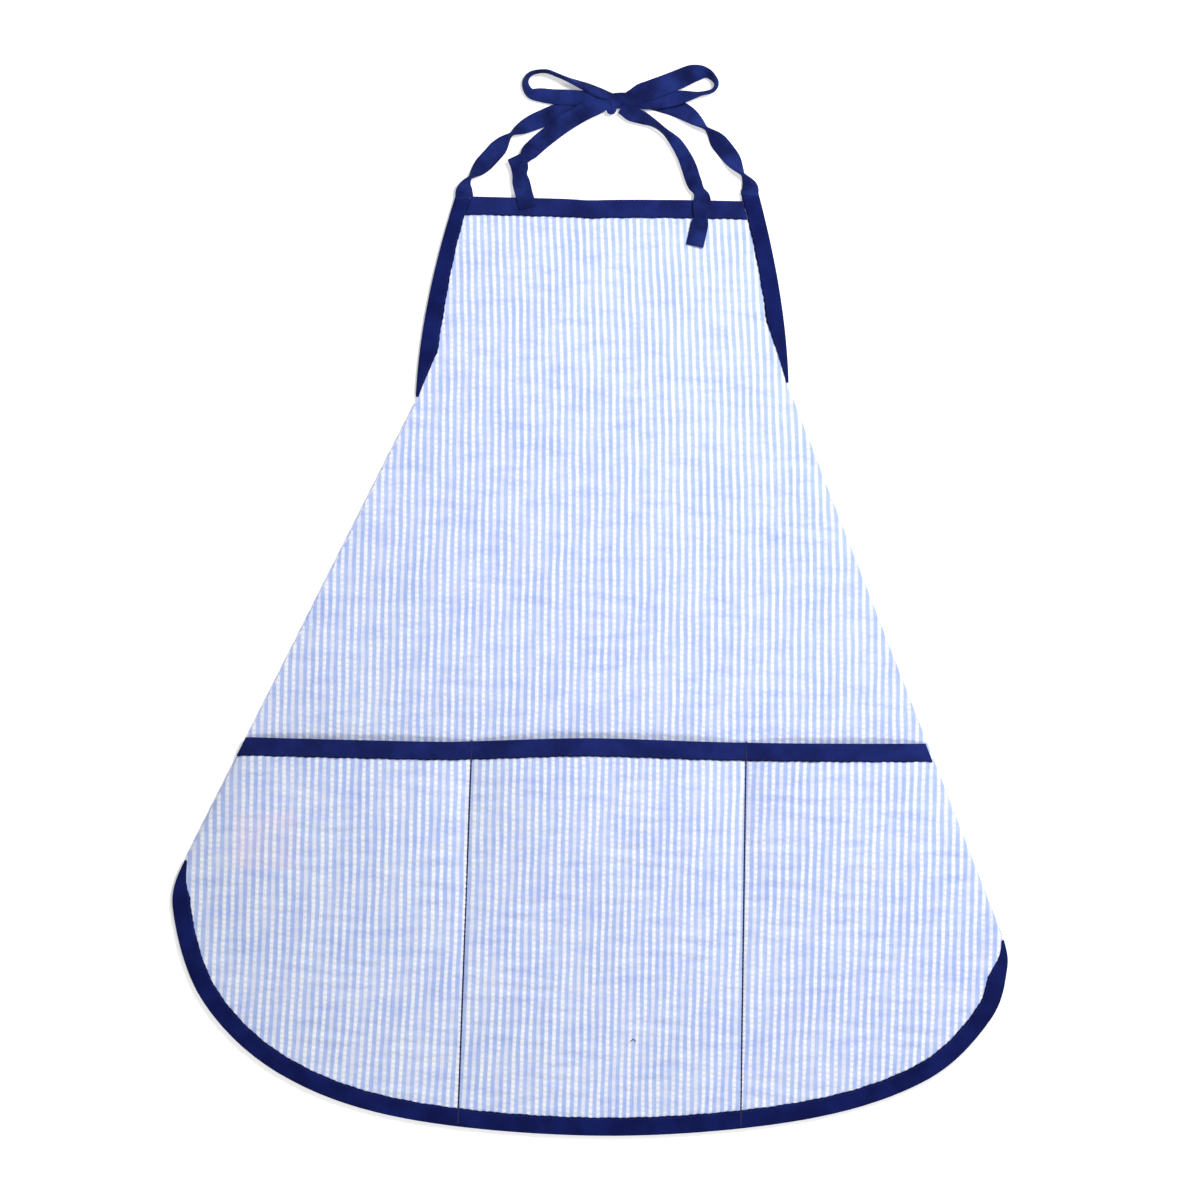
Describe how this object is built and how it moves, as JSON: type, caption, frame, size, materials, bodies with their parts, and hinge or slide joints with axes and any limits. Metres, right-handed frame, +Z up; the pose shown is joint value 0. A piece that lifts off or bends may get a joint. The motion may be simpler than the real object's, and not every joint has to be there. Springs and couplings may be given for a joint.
{
  "type": "bib apron",
  "caption": "Bib apron laid flat with its sides folded behind, a divided front pocket, taped edges and neck ties tied in a bow.",
  "frame": {"origin": "under the middle of the laid cloth, on the surface that it lies on", "axes": "+Z up, out of the face of the apron; +Y towards the bib; +X to the right of someone looking at the face"},
  "size_m": [0.657, 0.84, 0.0112],
  "materials": {
    "seersucker": "matte",
    "grosgrain": "matte",
    "thread": "matte",
    "label": "satin"
  },
  "bodies": {
    "apron_front": {"front_panel": "seersucker", "pocket_panel": "seersucker", "pocket_mouth_tape": "grosgrain", "top_edge_tape": "grosgrain", "left_armhole_tape": "grosgrain", "right_armhole_tape": "grosgrain", "hem_tape": "grosgrain", "left_divider_seam": "thread", "right_divider_seam": "thread", "care_label": "label"},
    "left_flap": {"left_flap_panel": "seersucker", "left_flap_armhole_tape": "grosgrain", "left_side_tape": "grosgrain", "left_waist_tie": "grosgrain"},
    "right_flap": {"right_flap_panel": "seersucker", "right_flap_armhole_tape": "grosgrain", "right_side_tape": "grosgrain", "right_waist_tie": "grosgrain"},
    "neck_loop": {"left_neck_tie": "grosgrain", "right_neck_tie": "grosgrain", "bow_knot": "grosgrain", "left_bow_loop": "grosgrain", "right_bow_loop": "grosgrain"},
    "bow_tails": {"left_tie_tail": "grosgrain", "right_tie_tail": "grosgrain"}
  },
  "joints": [
    {"name": "left_flap_unfold", "type": "hinge", "parent": "apron_front", "child": "left_flap", "pos_m": [-0.22765, 0.028, 0.0018], "axis": [0.4496, 0.8932, 0], "range_deg": [0, 180]},
    {"name": "right_flap_unfold", "type": "hinge", "parent": "apron_front", "child": "right_flap", "pos_m": [0.24065, 0.002, 0.0018], "axis": [0.363, -0.9318, 0], "range_deg": [0, 180]},
    {"name": "neck_loop_lift", "type": "hinge", "parent": "apron_front", "child": "neck_loop", "pos_m": [0.0133, 0.37025, 0.0032], "axis": [1, 0.0096, 0], "range_deg": [0, 120]},
    {"name": "bow_tails_hang", "type": "hinge", "parent": "neck_loop", "child": "bow_tails", "pos_m": [0.0133, 0.438, 0.0037], "axis": [1, 0.0096, 0], "range_deg": [-120, 0]}
  ],
  "couplings": [
    {"joint": "bow_tails_hang", "follows": "neck_loop_lift", "ratio": -1}
  ]
}
